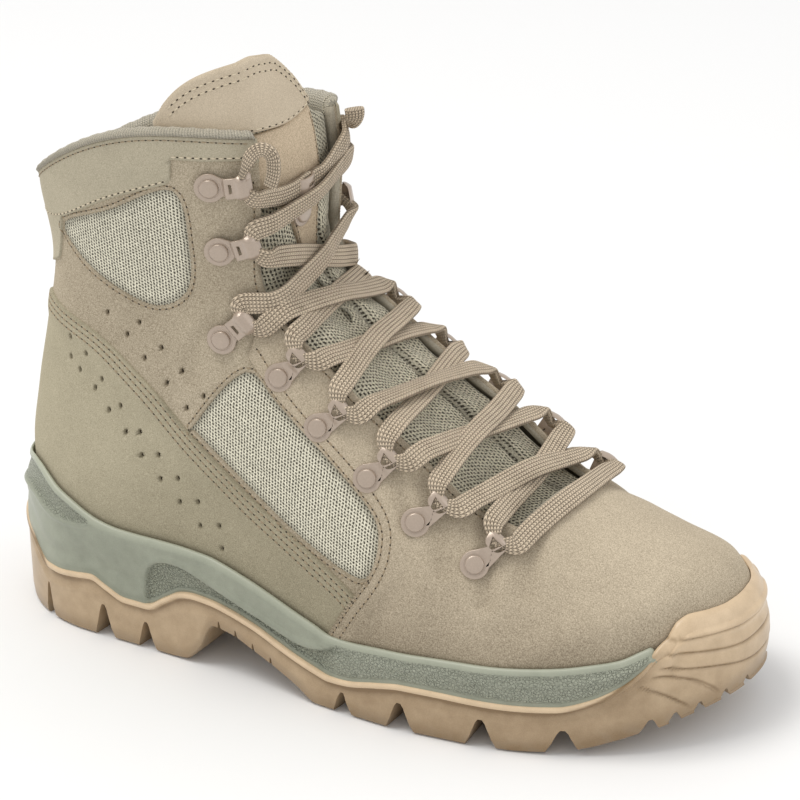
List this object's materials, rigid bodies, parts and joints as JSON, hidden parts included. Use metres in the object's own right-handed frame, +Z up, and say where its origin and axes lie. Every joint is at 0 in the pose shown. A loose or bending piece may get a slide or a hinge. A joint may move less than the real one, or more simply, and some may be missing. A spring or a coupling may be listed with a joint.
{
  "type": "hiking boot",
  "caption": "High lace-up desert hiking boot for the right foot, suede and mesh upper with riveted lace loops and hooks, on a lugged rubber sole.",
  "frame": {"origin": "centre of the boot's bounding box, on the ground under the sole", "axes": "+X from heel to toe, +Y to the inner (medial) side of the foot, +Z up"},
  "size_m": [0.3075, 0.116, 0.242],
  "materials": {
    "suede": "napped suede",
    "nubuck": "fine nubuck",
    "mesh_cloth": "open mesh",
    "tongue_cloth": "padded mesh and suede",
    "knit": "ribbed knit",
    "sole_foam": "satin with a grained band",
    "sole_rubber": "matte",
    "strip_cloth": "matte woven",
    "footbed": "matte",
    "painted_metal": "satin paint",
    "lace_cord": "flat braid"
  },
  "bodies": {
    "root": {"collar_binding": "knit", "cuff_lateral": "nubuck", "cuff_medial": "nubuck", "eyestay_lateral": "suede", "eyestay_medial": "suede", "heel_strip": "strip_cloth", "insole": "footbed", "lace_bar": "lace_cord", "lace_crossing_1": "lace_cord", "lace_crossing_2": "lace_cord", "lace_crossing_3": "lace_cord", "lace_crossing_4": "lace_cord", "lace_crossing_5": "lace_cord", "lace_crossing_6": "lace_cord", "lace_crossing_7": "lace_cord", "lace_end_lateral": "lace_cord", "lace_end_medial": "lace_cord", "lace_ring_lateral_1": "painted_metal", "lace_ring_lateral_2": "painted_metal", "lace_ring_lateral_3": "painted_metal", "lace_ring_lateral_4": "painted_metal", "lace_ring_lateral_5": "painted_metal", "lace_ring_lateral_6": "painted_metal", "lace_ring_lateral_7": "painted_metal", "lace_ring_lateral_8": "painted_metal", "lace_ring_medial_1": "painted_metal", "lace_ring_medial_2": "painted_metal", "lace_ring_medial_3": "painted_metal", "lace_ring_medial_4": "painted_metal", "lace_ring_medial_5": "painted_metal", "lace_ring_medial_6": "painted_metal", "lace_ring_medial_7": "painted_metal", "lace_ring_medial_8": "painted_metal", "lace_top": "lace_cord", "midsole": "sole_foam", "outsole": "sole_rubber", "quarter_lateral": "nubuck", "quarter_medial": "nubuck", "tongue": "tongue_cloth", "tongue_ring": "painted_metal", "upper": "mesh_cloth", "vamp_overlay": "suede"}
  },
  "joints": []
}
